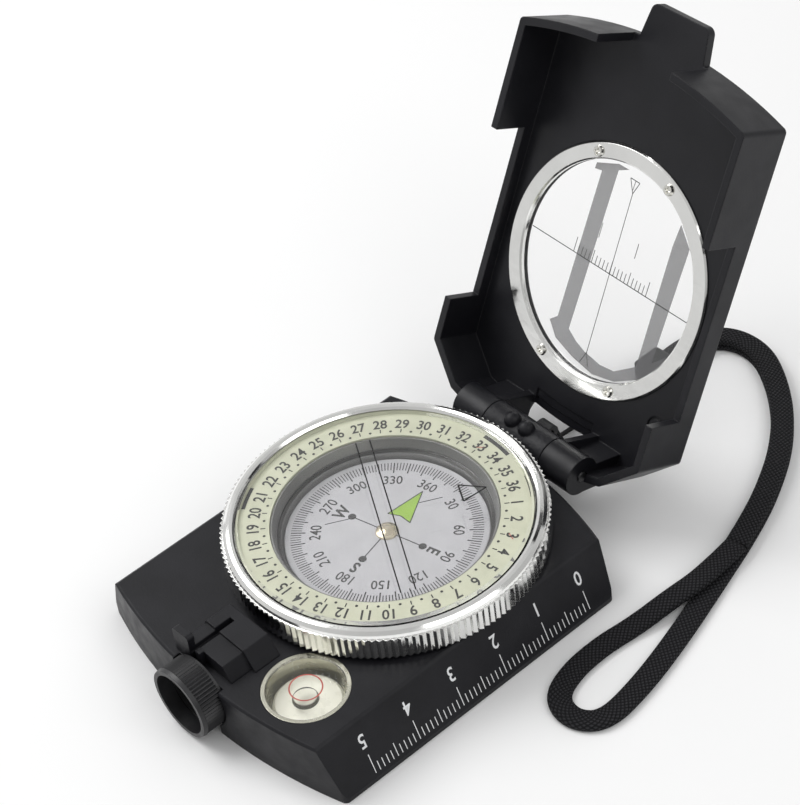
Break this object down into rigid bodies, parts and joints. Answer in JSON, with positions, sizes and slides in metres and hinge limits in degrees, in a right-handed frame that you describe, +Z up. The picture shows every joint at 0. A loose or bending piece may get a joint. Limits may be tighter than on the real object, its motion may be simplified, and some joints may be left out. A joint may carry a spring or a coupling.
{
  "type": "sighting compass",
  "caption": "Folding field compass with a turning numbered bezel, floating card, bubble level, sighting lid with window, eyepiece and wrist strap.",
  "frame": {"origin": "centre of the dial axis on the flat underside of the body", "axes": "+Z up along the dial axis, +Y the sighting direction towards the hinge, +X towards the ruler edge"},
  "size_m": [0.0849, 0.1373, 0.0806],
  "materials": {
    "body": "satin black paint",
    "steel": "plain steel",
    "capsule_metal": "satin",
    "clear_glass": "clear",
    "brass": "polished",
    "black_plastic": "fine grip ribs",
    "card_white": "printed",
    "magnet": "plain",
    "chrome": "polished",
    "luminous": "printed, glow pigment",
    "vial_cream": "moulded",
    "window_glass": "printed sighting lines",
    "cord": "braided",
    "strap": "woven tube"
  },
  "bodies": {
    "base": {"base_body": "body", "bottom_cover": "body", "cover_screws": "steel", "hinge_pin": "steel", "lanyard_eyelet": "steel", "capsule_cup": "capsule_metal", "capsule_glass": "clear_glass", "pivot_post": "brass", "snap_ring": "steel", "friction_ring": "black_plastic", "vial_cup": "vial_cream", "vial_disc": "vial_cream", "vial_glass": "clear_glass", "prism_housing": "body", "prism": "clear_glass", "lanyard_cord_left": "cord", "lanyard_cord_right": "cord", "strap_lead": "strap", "strap_loop": "strap", "strap_crimp": "black_plastic"},
    "card": {"compass_card": "card_white", "card_hub": "brass", "card_magnet": "magnet"},
    "bezel": {"bezel_ring": "chrome", "number_ring": "luminous", "bezel_crystal": "clear_glass"},
    "eyepiece": {"eyepiece_barrel": "black_plastic", "eyepiece_lens": "clear_glass"},
    "lid": {"lid_body": "body", "window_glass": "window_glass", "window_ring": "chrome", "ring_screws": "chrome"}
  },
  "joints": [
    {"name": "card_turn", "type": "hinge", "parent": "base", "child": "card", "pos_m": [0, 0, 0.0115], "axis": [0, 0, 1], "continuous": true},
    {"name": "bezel_turn", "type": "hinge", "parent": "base", "child": "bezel", "pos_m": [0, 0, 0.014], "axis": [0, 0, 1], "continuous": true},
    {"name": "eyepiece_turn", "type": "hinge", "parent": "base", "child": "eyepiece", "pos_m": [0, -0.044, 0.0075], "axis": [0, 1, 0], "range_deg": [-150, 150]},
    {"name": "lid_hinge", "type": "hinge", "parent": "base", "child": "lid", "pos_m": [0, 0.0332, 0.012], "axis": [-1, 0, 0], "range_deg": [-116.5, 15]}
  ]
}
